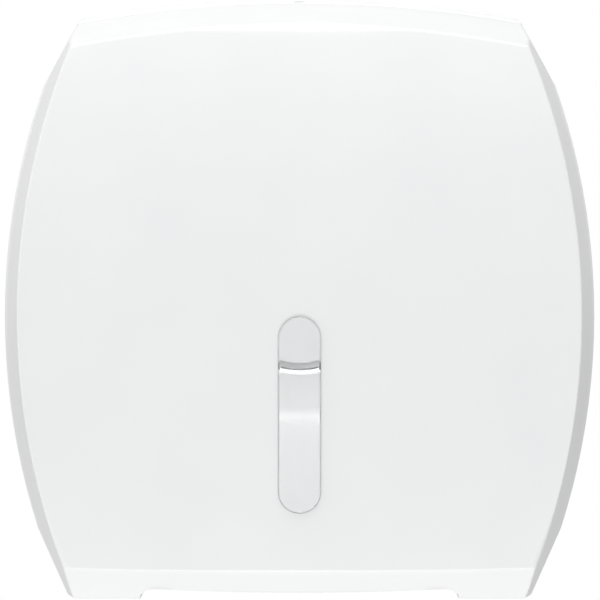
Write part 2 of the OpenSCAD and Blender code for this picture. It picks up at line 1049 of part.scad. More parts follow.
back_plate();
front_cover();
sight_window();
window_retainer();
tear_blade_left();
tear_blade_right();
blade_rivets();
hinge_pin_left();
hinge_pin_right();
spindle();
spindle_screws();
thrust_washer();
hub();
hub_cap();
core_adapter();
hub_washer();
hub_screw();
lock_barrel();
lock_nut();
lock_plug();
lock_cam();
cam_screw();
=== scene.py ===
"""Looks for a wall dispenser of jumbo toilet rolls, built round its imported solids.

Sizes in the casing's section are millimetres, with depth measured forward from the wall,
and every mesh is written in metres: +X right, +Y into the wall, +Z up.
"""
import math

import bmesh
import bpy
import numpy as np
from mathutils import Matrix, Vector


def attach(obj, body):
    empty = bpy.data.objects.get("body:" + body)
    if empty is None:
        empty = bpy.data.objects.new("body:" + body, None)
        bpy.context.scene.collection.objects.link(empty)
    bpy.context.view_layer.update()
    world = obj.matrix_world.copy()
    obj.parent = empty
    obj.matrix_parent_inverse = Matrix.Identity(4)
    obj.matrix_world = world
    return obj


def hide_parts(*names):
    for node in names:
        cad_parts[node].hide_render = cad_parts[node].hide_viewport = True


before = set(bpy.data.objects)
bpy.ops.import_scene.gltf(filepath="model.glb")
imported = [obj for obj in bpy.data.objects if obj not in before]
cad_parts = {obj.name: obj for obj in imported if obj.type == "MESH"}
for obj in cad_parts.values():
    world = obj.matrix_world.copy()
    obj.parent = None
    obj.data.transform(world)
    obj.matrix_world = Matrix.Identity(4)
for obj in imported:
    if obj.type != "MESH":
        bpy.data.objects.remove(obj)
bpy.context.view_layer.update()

MM = 0.001
# Corners closer than this are joined, in metres: in the meshes made here, and in the solids
WELD = 2e-6
NODE_WELD = 1e-6
# The least turn at an edge that is shaded as sharp, and at one that is bevelled
SHARP_ANGLE = math.radians(35)
BEVEL_ANGLE = math.radians(40)

# ---- Casing sizes ----
#
# They are the solids' own, except for the slanted lip and the window's hole, which follow the
# photograph: the lip leaves the face 1.3 mm lower, and the hole is 0.35 mm tighter all round.

BODY_W = 274.4
BODY_TOP = 139.8
BODY_BOTTOM = 136.0
BODY_D = 125.0
WALL = 3.0
SIDE_R = 323.5
SIDE_DROP = 7.1
SIDE_FALL = math.tan(math.radians(4.4))
TOP_R = 570.0
TOP_FALL = math.tan(math.radians(7.55))
FACE_R = 700.0
FACE_DROP = 3.0
TOP_CORNER_H = 40.2
TOP_CORNER_ANGLE = math.radians(28.5)
BOTTOM_CORNER_H = 29.9
BOTTOM_CORNER_ANGLE = math.radians(-24.2)
CORNER_FALL = math.tan(math.radians(2.1))
LIP_D = 88.9
LIP_FALL = math.tan(math.radians(25.8))
LIP_BOW_R = 3200.0
LIP_BOW_RUN = 8.0
LIP_SOFT = 2.0
LIP_TURN = 2.5
COVER_D = 18.5
HINGE_EDGE_R = 9.0
OUTLET_W = 145.2
OUTLET_D = 97.0
OUTLET_ROUND = 7.0
OUTLET_BOW_R = 1070.0
OUTLET_BOW = 2.0
WINDOW_W = 19.9
WINDOW_H = 89.4
WINDOW_DROP = 52.0
LENS_PROUD = 1.0
LENS_FLANGE = 3.5
LENS_FLANGE_T = 1.6
LENS_EDGE_R = 0.8
LENS_GAP = 0.04
FIT_GAP = 0.1
SLOT_R = 9.6
HINGE_X = 90.0
KNUCKLE_W = 11.0
PIN_BORE_R = 2.55
LUG_W = 4.7
LUG_SLOT_REACH = 6.5
MOVE_GAP = 0.3
RIB_X = (45.6, 47.4)
RIB_END_Z = 121.0
RETAINER_RIM = 6.5

SIDE_CX = SIDE_R - BODY_W / 2
TOP_CZ = BODY_TOP - TOP_R
HINGE_D = COVER_D + HINGE_EDGE_R
HINGE_Z = -BODY_BOTTOM + HINGE_EDGE_R
HALF_OUTLET = OUTLET_W / 2

# ---- Mesh helpers ----


def metres(x, depth, z):
    """Points in metres from arrays of x, depth and z in millimetres."""
    return np.stack([x, -depth, z], axis=-1) * MM


def mesh_object(name, verts, faces, material, body):
    """A smooth-shaded object on a body, with hard edges only where faces turn sharply."""
    mesh = bpy.data.meshes.new(name)
    mesh.from_pydata([tuple(v) for v in verts], [], faces)
    tidy = bmesh.new()
    tidy.from_mesh(mesh)
    bmesh.ops.remove_doubles(tidy, verts=tidy.verts, dist=WELD)
    bmesh.ops.dissolve_degenerate(tidy, edges=tidy.edges, dist=WELD)
    bmesh.ops.recalc_face_normals(tidy, faces=tidy.faces)
    tidy.to_mesh(mesh)
    tidy.free()
    obj = bpy.data.objects.new(name, mesh)
    bpy.context.scene.collection.objects.link(obj)
    shade(obj)
    mesh.materials.append(material)
    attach(obj, body)
    return obj


def shade(obj):
    """Smooth shading, broken only at sharp edges."""
    mesh = obj.data
    mesh.polygons.foreach_set("use_smooth", [True] * len(mesh.polygons))
    mesh.set_sharp_from_angle(angle=SHARP_ANGLE)


def loop_faces(rows, columns, close_rows=True):
    """Quads over a grid whose columns close on themselves, and whose rows may."""
    faces = []
    for r in range(rows if close_rows else rows - 1):
        below = r * columns
        above = (r + 1) % rows * columns
        for c in range(columns):
            n = (c + 1) % columns
            faces.append((below + c, below + n, above + n, above + c))
    return faces


def round_edges(obj, width, segments=2):
    """Bevels the hard edges of a mesh that is already welded."""
    work = bmesh.new()
    work.from_mesh(obj.data)
    hard = [e for e in work.edges if e.is_manifold and e.calc_face_angle(0) > BEVEL_ANGLE]
    bmesh.ops.bevel(
        work, geom=hard, offset=width, segments=segments, profile=0.5,
        affect="EDGES", clamp_overlap=True,
    )
    work.to_mesh(obj.data)
    work.free()
    shade(obj)


# ---- Materials ----


def math_node(tree, kind, *values):
    """A maths node on numbers or other nodes' outputs."""
    made = tree.nodes.new("ShaderNodeMath")
    made.operation = kind
    for slot, value in enumerate(values):
        if isinstance(value, (int, float)):
            made.inputs[slot].default_value = value
        else:
            tree.links.new(value, made.inputs[slot])
    return made.outputs[0]


class Nodes:
    """Short way to build a node material on object coordinates, in metres."""

    def __init__(self, name):
        self.material = bpy.data.materials.new(name)
        self.material.use_nodes = True
        self.tree = self.material.node_tree
        self.shader = self.tree.nodes["Principled BSDF"]
        self.place = self.add("ShaderNodeTexCoord").outputs["Object"]

    def add(self, kind, **values):
        made = self.tree.nodes.new(kind)
        for key, value in values.items():
            setattr(made, key, value)
        return made

    def link(self, a, b):
        self.tree.links.new(a, b)

    def noise(self, scale, detail, stretch=(1, 1, 1)):
        """Noise that repeats about every 1/scale metres."""
        mapping = self.add("ShaderNodeMapping")
        mapping.inputs["Scale"].default_value = [scale * s for s in stretch]
        made = self.add("ShaderNodeTexNoise")
        made.inputs["Scale"].default_value = 1.0
        made.inputs["Detail"].default_value = detail
        self.link(self.place, mapping.inputs["Vector"])
        self.link(mapping.outputs["Vector"], made.inputs["Vector"])
        return made.outputs["Fac"]

    def between(self, source, low, high):
        """A value from 0 to 1 brought between two limits."""
        made = self.add("ShaderNodeMapRange")
        made.inputs["To Min"].default_value = low
        made.inputs["To Max"].default_value = high
        self.link(source, made.inputs["Value"])
        return made.outputs["Result"]

    def tint(self, source, dark, light):
        """Base colour that wanders between two shades; returns the colour."""
        ramp = self.add("ShaderNodeValToRGB")
        ramp.color_ramp.elements[0].color = (*dark, 1)
        ramp.color_ramp.elements[0].position = 0.3
        ramp.color_ramp.elements[1].color = (*light, 1)
        ramp.color_ramp.elements[1].position = 0.7
        self.link(source, ramp.inputs["Fac"])
        self.link(ramp.outputs["Color"], self.shader.inputs["Base Color"])
        return ramp.outputs["Color"]

    def bump(self, source, height, strength):
        """Relief of that height, in metres."""
        made = self.add("ShaderNodeBump")
        made.inputs["Distance"].default_value = height
        made.inputs["Strength"].default_value = strength
        self.link(source, made.inputs["Height"])
        self.link(made.outputs["Normal"], self.shader.inputs["Normal"])


# How often each kind of unevenness repeats, per metre
COLOUR_DRIFT = 25
GLOSS_DRIFT = 90
ORANGE_PEEL = 700
BRUSH_GRAIN = 900
LENS_DRIFT = 60
LENS_HAZE = 200
LENS_RIPPLE = 400
# Painted shade near the lens's rounded edge, greying its colour where that edge looks dark: how far
# inside the hole it begins and is full, and its colour
LENS_PAINTED_SHADE_BAND = (1.0, 0.5)
LENS_EDGE_PAINTED_SHADE = (0.77, 0.775, 0.775, 1)
# Sockets of a Mix node that mixes colours
MIX_SHARE, MIX_FIRST, MIX_SECOND, MIX_RESULT = 0, 6, 7, 2


def plastic(name, dark, light, rough, ripple):
    """Moulded plastic: faint colour drift, uneven gloss and a fine orange-peel ripple."""
    m = Nodes(name)
    m.tint(m.noise(COLOUR_DRIFT, 3), dark, light)
    gloss = m.between(m.noise(GLOSS_DRIFT, 4), rough - 0.03, rough + 0.03)
    m.link(gloss, m.shader.inputs["Roughness"])
    m.bump(m.noise(ORANGE_PEEL, 2), ripple, 0.35)
    m.shader.inputs["IOR"].default_value = 1.5
    return m.material


def brushed(name, dark, light, rough, stretch):
    """Metal brushed along one axis."""
    m = Nodes(name)
    grain = m.noise(BRUSH_GRAIN, 3, stretch)
    m.tint(grain, dark, light)
    m.link(m.between(grain, rough - 0.06, rough + 0.08), m.shader.inputs["Roughness"])
    m.bump(grain, 4e-6, 0.5)
    m.shader.inputs["Metallic"].default_value = 1.0
    return m.material


def from_pill_axis(m):
    """Distance of a point from the window's upright axis, in metres."""
    split = m.add("ShaderNodeSeparateXYZ")
    m.link(m.place, split.inputs[0])
    above = math_node(m.tree, "ADD", split.outputs["Z"], WINDOW_DROP * MM)
    from_middle = math_node(m.tree, "ABSOLUTE", above)
    past_axis = math_node(m.tree, "SUBTRACT", from_middle, (WINDOW_H - WINDOW_W) / 2 * MM)
    up = math_node(m.tree, "MAXIMUM", past_axis, 0.0)
    squares = [math_node(m.tree, "MULTIPLY", v, v) for v in (split.outputs["X"], up)]
    return math_node(m.tree, "SQRT", math_node(m.tree, "ADD", *squares))


def clear(name):
    """Clear moulded plastic with a trace of haze, and painted shade: greyer where its rounded edge
    begins.
    """
    m = Nodes(name)
    body_tint = m.tint(m.noise(LENS_DRIFT, 2), (0.955, 0.965, 0.965), (0.975, 0.98, 0.98))
    # Painted shade: the base colour greys towards the lens's rounded edge, standing in for that
    # edge's dark look
    edge = m.between(from_pill_axis(m), 0.0, 1.0)
    painted_shade_band = edge.node.inputs
    painted_shade_band["From Min"].default_value = (SLOT_R - LENS_PAINTED_SHADE_BAND[0]) * MM
    painted_shade_band["From Max"].default_value = (SLOT_R - LENS_PAINTED_SHADE_BAND[1]) * MM
    mix = m.add("ShaderNodeMix", data_type="RGBA")
    m.link(edge, mix.inputs[MIX_SHARE])
    m.link(body_tint, mix.inputs[MIX_FIRST])
    mix.inputs[MIX_SECOND].default_value = LENS_EDGE_PAINTED_SHADE
    m.link(mix.outputs[MIX_RESULT], m.shader.inputs["Base Color"])
    m.link(m.between(m.noise(LENS_HAZE, 3), 0.03, 0.07), m.shader.inputs["Roughness"])
    m.bump(m.noise(LENS_RIPPLE, 2), 4e-6, 0.2)
    m.shader.inputs["Transmission Weight"].default_value = 1.0
    m.shader.inputs["IOR"].default_value = 1.45
    return m.material


WHITE = plastic("white_abs", (0.83, 0.835, 0.84), (0.85, 0.852, 0.855), 0.3, 1.2e-5)
WHITE_INNER = plastic("white_abs_matt", (0.80, 0.805, 0.81), (0.83, 0.832, 0.835), 0.42, 2e-5)
WHITE_RING = plastic("white_abs_polished", (0.88, 0.883, 0.886), (0.90, 0.902, 0.905), 0.14, 6e-6)
GREY = plastic("grey_acetal", (0.60, 0.605, 0.61), (0.66, 0.665, 0.67), 0.4, 1e-5)
STEEL_X = brushed("stainless_across", (0.52, 0.53, 0.54), (0.68, 0.68, 0.69), 0.3, (0.02, 1, 1))
STEEL_Y = brushed("stainless_along", (0.52, 0.53, 0.54), (0.68, 0.68, 0.69), 0.3, (1, 0.02, 1))
ZINC = brushed("plated_zinc", (0.62, 0.62, 0.63), (0.74, 0.74, 0.75), 0.22, (1, 1, 0.1))
CLEAR = clear("clear_lens")

# ---- Casing shape ----


def line_circle(angle, distance, centre, radius, near):
    """Where the plane of a corner crosses a circle, taking the crossing nearest to a height."""
    normal = np.array([math.cos(angle), math.sin(angle)])
    run = np.array([-math.sin(angle), math.cos(angle)])
    base = distance[:, None] * normal - np.array(centre)
    half = base @ run
    root = np.sqrt(np.maximum(half**2 - (base**2).sum(1) + radius**2, 0))
    first, second = (
        distance[:, None] * normal + (-half + sign * root)[:, None] * run for sign in (-1, 1)
    )
    pick = np.abs(first[:, 1] - near) < np.abs(second[:, 1] - near)
    return np.where(pick[:, None], first, second)


def side_x(z):
    """Half width of the bowed side at the wall."""
    return math.sqrt(SIDE_R**2 - (z + SIDE_DROP) ** 2) - SIDE_CX


TOP_KINK_Z = BODY_TOP - TOP_CORNER_H
BOTTOM_KINK_Z = -BODY_BOTTOM + BOTTOM_CORNER_H
TOP_PLANE, BOTTOM_PLANE = (
    side_x(z) * math.cos(angle) + z * math.sin(angle)
    for z, angle in ((TOP_KINK_Z, TOP_CORNER_ANGLE), (BOTTOM_KINK_Z, BOTTOM_CORNER_ANGLE))
)


def face_depth(z, inset):
    """Depth of the barrel face at a height."""
    return np.sqrt((FACE_R - inset) ** 2 - (z + FACE_DROP) ** 2) - (FACE_R - BODY_D)


def bottom_z(depth, x, inset):
    """Height of the underside: flat at the feet, then slanting up to the face in a soft turn."""
    past = depth - LIP_D + inset * (1 / math.cos(math.atan(LIP_FALL)) - 1) / LIP_FALL
    turn = np.clip(past + LIP_SOFT, 0, None) ** 2 / (4 * LIP_SOFT)
    rise = np.where(past > LIP_SOFT, past, turn)
    bow = np.clip(past / LIP_BOW_RUN, 0, 1) * x**2 / (2 * LIP_BOW_R)
    return -BODY_BOTTOM + inset + rise * LIP_FALL + bow


# Rounds. The edge round is wider over the top's middle and along the lip.
CORNER_ROUND = 1.3
EDGE_REACH = 0.8
SOFT_REACH = 5.0
SOFT_SPREAD = 600.0
SOFT_ABOVE_Z = 110
LIP_FACE_REACH = 1.2
LIP_WALL_REACH = 0.6
LIP_BELOW_Z = -95
LIP_BLEND = 20
SLOT_ROUND = 0.2
INNER_REACH = 1.0
# The rows over the face, and how close the extra row next to each of its ends stands
FACE_ROWS = 44
HOLD_AT_HOLE = 0.4
HOLD_AT_EDGE = 0.5
# The least length of a slanted corner, and the steps that every search takes
SHORTEST = 2.0
SEARCH_STEPS = 12
# Where the searches for the face's edge and the top's end begin
CREASE_START = 114
CROWN_START = BODY_TOP - 10


def key_points(depth, inset):
    """The four turning points of the right half's outline, as (x, z) at per-column depths.

    They are the foot's end, the two kinks in the side, and the top's end. Towards the face the
    slanted corners run out, and a kink then stays a little way from the foot's or top's end."""
    side_radius = SIDE_R - inset - depth * SIDE_FALL
    top_radius = TOP_R - inset - depth * TOP_FALL
    high_plane = TOP_PLANE - inset - depth * CORNER_FALL
    low_plane = BOTTOM_PLANE - inset - depth * CORNER_FALL

    def flank(z):
        """Half width at a height: the side's bow, or a slanted corner where it lies further in."""
        arc = np.sqrt(side_radius**2 - (z + SIDE_DROP) ** 2) - SIDE_CX
        high = (high_plane - z * math.sin(TOP_CORNER_ANGLE)) / math.cos(TOP_CORNER_ANGLE)
        low = (low_plane - z * math.sin(BOTTOM_CORNER_ANGLE)) / math.cos(BOTTOM_CORNER_ANGLE)
        return np.minimum(arc, np.minimum(high, low))

    foot_z = np.full_like(depth, -BODY_BOTTOM)
    crown_z = np.full_like(depth, CROWN_START)
    for _ in range(SEARCH_STEPS):
        foot_z = bottom_z(depth, flank(foot_z), inset)
        crown_z = TOP_CZ + np.sqrt(top_radius**2 - flank(crown_z) ** 2)
    kinks = []
    centre = (-SIDE_CX, -SIDE_DROP)
    for angle, plane, near in (
        (BOTTOM_CORNER_ANGLE, low_plane, BOTTOM_KINK_Z), (TOP_CORNER_ANGLE, high_plane, TOP_KINK_Z),
    ):
        kinks.append(line_circle(angle, plane, centre, side_radius, near)[:, 1])
    low_z = np.maximum(kinks[0], foot_z + SHORTEST)
    high_z = np.minimum(kinks[1], crown_z - SHORTEST)
    return [np.stack([flank(z), z], 1) for z in (foot_z, low_z, high_z, crown_z)]


def side_arc(low, high, u, depth, inset):
    """Points on the bowed side between two kinks."""
    radius = SIDE_R - inset - depth * SIDE_FALL
    first = np.arctan2(low[:, 1] + SIDE_DROP, low[:, 0] + SIDE_CX)
    last = np.arctan2(high[:, 1] + SIDE_DROP, high[:, 0] + SIDE_CX)
    turn = first + u * (last - first)
    return np.stack([radius * np.cos(turn) - SIDE_CX, radius * np.sin(turn) - SIDE_DROP], 1)


def along(start, end, u, cut_start=0.0, cut_end=0.0):
    """Points between two ends, each of which may be held back by a length."""
    length = np.linalg.norm(end - start, axis=1)
    share = (cut_start + u * (length - cut_start - cut_end)) / length
    return start + share[:, None] * (end - start)


def top_arc(crown, u, cut, depth, inset):
    """Points on the bowed top, from its end to the middle."""
    radius = TOP_R - inset - depth * TOP_FALL
    x = (crown[:, 0] - cut) * (1 - u)
    return np.stack([x, TOP_CZ + np.sqrt(radius**2 - x**2)], 1)


def foot_line(foot, u, cut, depth, inset):
    """Points on the underside, from the notch's side to the foot's end."""
    x = HALF_OUTLET + u * (foot[:, 0] - cut - HALF_OUTLET)
    return np.stack([x, bottom_z(depth, x, inset)], 1)


def spread(count, ends=0.0):
    """Even steps from 0 to 1, with an extra one close to each end."""
    steps = np.linspace(0, 1, count + 1)
    if ends:
        steps = np.concatenate([[0, ends], steps[1:-1], [1 - ends, 1]])
    return steps


def outline_columns():
    """The right half's columns, as kinds and shares, from the bottom middle to the top middle."""
    turn = spread(8)[1:-1]
    plan = [
        ("notch", spread(26, 0.004)),
        ("foot", spread(14, 0.02)),
        ("foot_end", turn),
        ("low_corner", spread(10, 0.02)[:-1]),
        ("side", spread(76, 0.002)),
        ("high_corner", spread(13, 0.015)[1:]),
        ("top_end", turn),
        ("top", spread(48, 0.006)),
    ]
    kinds = np.concatenate([[kind] * len(steps) for kind, steps in plan])
    shares = np.concatenate([steps for _, steps in plan])
    return kinds, shares


KINDS, SHARES = outline_columns()
HALF_COUNT = len(KINDS)
IS_NOTCH = KINDS == "notch"


def half_outline(depth, inset):
    """(x, z) of every column of the right half at per-column depths."""
    foot, low, high, crown = key_points(depth, inset)
    u = SHARES
    one = np.ones_like(u)
    cut = CORNER_ROUND

    def turned(before, corner, after):
        """A small curve from one point to the next, drawn by the corner between them."""
        v = u[:, None]
        return (1 - v) ** 2 * before + 2 * v * (1 - v) * corner + v**2 * after

    foot_end = foot_line(foot, one, cut, depth, inset)
    crown_end = along(high, crown, one, 0, cut)
    notch_x = u * HALF_OUTLET
    made = {
        "notch": np.stack([notch_x, bottom_z(depth, notch_x, inset)], 1),
        "foot": foot_line(foot, u, cut, depth, inset),
        "foot_end": turned(foot_end, foot, along(foot, low, 0 * u, cut)),
        "low_corner": along(foot, low, u, cut),
        "side": side_arc(low, high, u, depth, inset),
        "high_corner": along(high, crown, u, 0, cut),
        "top_end": turned(crown_end, crown, top_arc(crown, 0 * u, cut, depth, inset)),
        "top": top_arc(crown, u, cut, depth, inset),
    }
    total = np.zeros((HALF_COUNT, 2))
    for kind, places in made.items():
        total[KINDS == kind] = places[KINDS == kind]
    return total


def notch_depth(x):
    """Depth of the notch's front edge across the cover."""
    into_corner = np.clip(np.abs(x) - (HALF_OUTLET - OUTLET_ROUND), 0, OUTLET_ROUND)
    corner = OUTLET_D - OUTLET_ROUND + np.sqrt(OUTLET_ROUND**2 - into_corner**2)
    bow = OUTLET_D - OUTLET_BOW + OUTLET_BOW_R - np.sqrt(OUTLET_BOW_R**2 - x**2)
    return np.minimum(corner, np.maximum(bow, OUTLET_D - OUTLET_BOW))


def rear_depth(z):
    """Depth of the cover's rear edge, which is rounded about the hinge axis at the bottom."""
    below = np.clip(HINGE_Z - z, 0, HINGE_EDGE_R)
    return np.where(z < HINGE_Z, HINGE_D - np.sqrt(HINGE_EDGE_R**2 - below**2), COVER_D)


def settle(start, inset, rule):
    """Per-column depths at which a depth rule and the outline agree."""
    depth = np.full(HALF_COUNT, float(start))
    for _ in range(SEARCH_STEPS):
        depth = rule(half_outline(depth, inset))
    return depth


CREASE = {
    i: settle(CREASE_START, i, lambda p, i=i: face_depth(p[:, 1], i)) for i in (0.0, WALL)
}


def wall_row(depth, inset):
    """One row of the side wall, held back to the notch's edge where there is a notch."""
    x = half_outline(depth, inset)[:, 0]
    depth = np.where(IS_NOTCH, np.maximum(depth, notch_depth(x)), depth)
    place = half_outline(depth, inset)
    return place[:, 0], depth, place[:, 1]


def window_point(x, z, offset):
    """The point at an offset round the window's upright axis, on the way to (x, z)."""
    half_axis = (WINDOW_H - WINDOW_W) / 2
    nearest = np.clip(z, -WINDOW_DROP - half_axis, -WINDOW_DROP + half_axis)
    away = np.stack([x, z - nearest], 1)
    away /= np.linalg.norm(away, axis=1)[:, None]
    return away[:, 0] * offset, nearest + away[:, 1] * offset


def curve_between(a, corner, b, steps):
    """Points of a small round between two tangent points, without its ends."""
    for v in np.linspace(0, 1, steps + 2)[1:-1]:
        yield (1 - v) ** 2 * a + 2 * v * (1 - v) * corner + v**2 * b


def edge_softness(x, z):
    """How far the round between face and wall reaches on each: widest over the top's middle."""
    near_lip = np.clip((LIP_BELOW_Z - z) / LIP_BLEND, 0, 1)
    soft_top = np.maximum(EDGE_REACH, SOFT_REACH - x**2 / SOFT_SPREAD)
    on_face = np.where(z > SOFT_ABOVE_Z, soft_top, EDGE_REACH + LIP_FACE_REACH * near_lip)
    return on_face, on_face + LIP_WALL_REACH * near_lip


def cover_rows():
    """The rows of the cover's skin, from the window's hole over the face, round and back inside."""
    rows = []

    def add(x, depth, z):
        rows.append(np.stack([x + 0 * z, depth + 0 * z, z + 0 * x], 1))

    outer, inner = 0.0, WALL
    crease = CREASE[outer]
    sharp = half_outline(crease, outer)
    # The window's hole, from the back to a small round at the front
    for back in np.linspace(WALL, SLOT_ROUND, 4):
        x, z = window_point(sharp[:, 0], sharp[:, 1], SLOT_R)
        add(x, face_depth(z, back), z)
    for turn in np.linspace(0, math.pi / 2, 5)[1:]:
        x, z = window_point(sharp[:, 0], sharp[:, 1], SLOT_R + SLOT_ROUND * (1 - math.cos(turn)))
        add(x, face_depth(z, SLOT_ROUND - SLOT_ROUND * math.sin(turn)), z)
    # The face, with a close row next to the hole's round and to the edge's
    reach, wall_reach = edge_softness(sharp[:, 0], sharp[:, 1])
    start_x, start_z = window_point(sharp[:, 0], sharp[:, 1], SLOT_R + SLOT_ROUND)
    gap = np.hypot(sharp[:, 0] - start_x, sharp[:, 1] - start_z)
    last = 1 - reach / gap
    evenly = [share * last for share in np.linspace(0, 1, FACE_ROWS)[1:-1]]
    for share in [HOLD_AT_HOLE / gap, *evenly, last - HOLD_AT_EDGE / gap, last]:
        x = start_x + share * (sharp[:, 0] - start_x)
        z = start_z + share * (sharp[:, 1] - start_z)
        add(x, face_depth(z, outer), z)
    # The round between face and wall
    on_face = rows[-1]
    corner = np.stack([sharp[:, 0], crease, sharp[:, 1]], 1)
    back_depth = crease - wall_reach
    on_wall = np.stack(wall_row(back_depth, outer), 1)
    for row in curve_between(on_face, corner, on_wall, 6):
        rows.append(row)
    # The wall, back to the rear edge
    rear = settle(COVER_D, outer, lambda p: rear_depth(p[:, 1]))
    for depth in wall_depths(back_depth, rear, 14):
        add(*wall_row(depth, outer))
    # The rear edge
    for inset in np.linspace(outer, inner, 5)[1:]:
        rear = settle(COVER_D, inset, lambda p: rear_depth(p[:, 1]))
        add(*wall_row(rear, inset))
    # Back along the inside
    inner_crease = CREASE[inner]
    inner_sharp = half_outline(inner_crease, inner)
    for depth in reversed(list(wall_depths(inner_crease - INNER_REACH, rear, 8))[:-1]):
        add(*wall_row(depth, inner))
    inner_corner = np.stack([inner_sharp[:, 0], inner_crease, inner_sharp[:, 1]], 1)
    end_x, end_z = window_point(sharp[:, 0], sharp[:, 1], SLOT_R)
    inner_gap = np.hypot(inner_sharp[:, 0] - end_x, inner_sharp[:, 1] - end_z)
    x = inner_sharp[:, 0] + INNER_REACH * (end_x - inner_sharp[:, 0]) / inner_gap
    z = inner_sharp[:, 1] + INNER_REACH * (end_z - inner_sharp[:, 1]) / inner_gap
    inside_start = np.stack([x, face_depth(z, inner), z], 1)
    for row in curve_between(rows[-1], inner_corner, inside_start, 3):
        rows.append(row)
    for share in np.linspace(0, 1, 16)[:-1]:
        px = x + share * (end_x - x)
        pz = z + share * (end_z - z)
        add(px, face_depth(pz, inner), pz)
    return rows


def wall_depths(front, rear, steps):
    """Depths of the wall's rows, closer together where the lip turns into the floor."""
    front = front + 0 * rear
    turn_front, turn_rear = LIP_D + LIP_TURN, LIP_D - LIP_TURN
    for share in np.linspace(0, 1, 5)[:-1]:
        yield front + share * (turn_front - front)
    for depth in np.linspace(turn_front, turn_rear, 7):
        yield depth + 0 * rear
    for share in np.linspace(0, 1, steps)[1:]:
        yield turn_rear + share * (rear - turn_rear)


def whole_loop(rows):
    """Mirrors each half row into a closed loop of columns."""
    loops = []
    for row in rows:
        left = row[::-1] * np.array([-1, 1, 1])
        loops.append(np.concatenate([row, left[1:-1]]))
    return loops


def make_front_cover():
    """The cover's moulded shell: one skin of even wall, notched for the hinge's lugs."""
    loops = whole_loop(cover_rows())
    columns = len(loops[0])
    points = np.concatenate(loops)
    verts = metres(points[:, 0], points[:, 1], points[:, 2])
    cover = mesh_object("cover_shell", verts, loop_faces(len(loops), columns), WHITE, "cover")
    cut_lug_notches(cover)
    round_edges(cover, 0.35 * MM)
    return cover


def box_mesh(name, low, high):
    """A plain box between two corners given as x, depth, z: a cutter, or a block to round."""
    x0, d0, z0 = low
    x1, d1, z1 = high
    corners = [(x, -d, z) for x in (x0, x1) for d in (d0, d1) for z in (z0, z1)]
    sides = [(0, 1, 3, 2), (4, 6, 7, 5), (0, 4, 5, 1), (2, 3, 7, 6), (0, 2, 6, 4), (1, 5, 7, 3)]
    mesh = bpy.data.meshes.new(name)
    mesh.from_pydata([tuple(MM * v for v in c) for c in corners], [], sides)
    obj = bpy.data.objects.new(name, mesh)
    bpy.context.scene.collection.objects.link(obj)
    fix = bmesh.new()
    fix.from_mesh(mesh)
    bmesh.ops.recalc_face_normals(fix, faces=fix.faces)
    fix.to_mesh(mesh)
    fix.free()
    return obj


def carve(obj, cutters):
    """Cuts the cutters out of a mesh and removes them."""
    for cutter in cutters:
        cut = obj.modifiers.new("cut", "BOOLEAN")
        cut.operation = "DIFFERENCE"
        cut.solver = "EXACT"
        cut.object = cutter
    bpy.context.view_layer.update()
    graph = bpy.context.evaluated_depsgraph_get()
    done = bpy.data.meshes.new_from_object(obj.evaluated_get(graph))
    obj.modifiers.clear()
    obj.data = done
    for cutter in cutters:
        bpy.data.objects.remove(cutter)


def cut_lug_notches(cover):
    """Cuts the slots in the cover's floor in which the back plate's hinge lugs stand.

    A cutter starts behind the rear edge and below the floor, and ends 1 mm under the axis."""
    width = LUG_W + 2 * MOVE_GAP
    cutters = []
    for side in (-1, 1):
        for edge in (HINGE_X + KNUCKLE_W / 2, HINGE_X - KNUCKLE_W / 2 - width):
            left, right = sorted((side * edge, side * (edge + width)))
            low = (left, 10, -BODY_BOTTOM - 1)
            high = (right, HINGE_D + LUG_SLOT_REACH, HINGE_Z - 1)
            cutters.append(box_mesh("notch_cutter", low, high))
    carve(cover, cutters)


def rounded_block(name, low, high, material, body, round_by):
    """A block with rounded edges between two corners given as x, depth, z."""
    obj = box_mesh(name, low, high)
    round_edges(obj, round_by * MM, segments=3)
    obj.data.materials.append(material)
    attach(obj, body)
    return obj


def lathe(name, profile, place, material, body):
    """A solid of revolution along depth: profile is (radius, depth) pairs from axis to axis."""
    count = 40
    angle = np.linspace(0, 2 * math.pi, count, endpoint=False)
    rows = []
    for radius, depth in profile:
        x = place[0] + radius * np.cos(angle)
        z = place[1] + radius * np.sin(angle)
        rows.append(metres(x, depth + 0 * angle, z))
    faces = loop_faces(len(rows), count, False)
    return mesh_object(name, np.concatenate(rows), faces, material, body)


def make_knuckle(side):
    """A bored knuckle: round on top, square where it stands on the cover's floor."""
    count = 64
    angle = np.linspace(0, 2 * math.pi, count, endpoint=False)
    across, up = np.sin(angle), np.cos(angle)
    round_r = HINGE_EDGE_R - WALL
    foot = round_r + 0.2
    never_zero = 1e-6
    to_side = 1 / np.maximum(np.abs(across), never_zero)
    to_floor = foot / round_r / np.maximum(-up, never_zero)
    outer = round_r * np.where(up > 0, 1.0, np.minimum(to_side, to_floor))
    bore = PIN_BORE_R + 0 * outer
    inner_end, outer_end = HINGE_X - KNUCKLE_W / 2, HINGE_X + KNUCKLE_W / 2
    rim, mouth = 0.4, 0.3
    rows = []
    for end, radius in (
        (inner_end + rim, outer), (outer_end - rim, outer), (outer_end, outer - rim),
        (outer_end, bore + mouth), (outer_end - mouth, bore), (inner_end + mouth, bore),
        (inner_end, bore + mouth), (inner_end, outer - rim),
    ):
        depth, z = HINGE_D + radius * across, HINGE_Z + radius * up
        rows.append(metres(side * end + 0 * angle, depth, z))
    name = "cover_knuckle_right" if side > 0 else "cover_knuckle_left"
    faces = loop_faces(len(rows), count)
    return mesh_object(name, np.concatenate(rows), faces, WHITE_INNER, "cover")


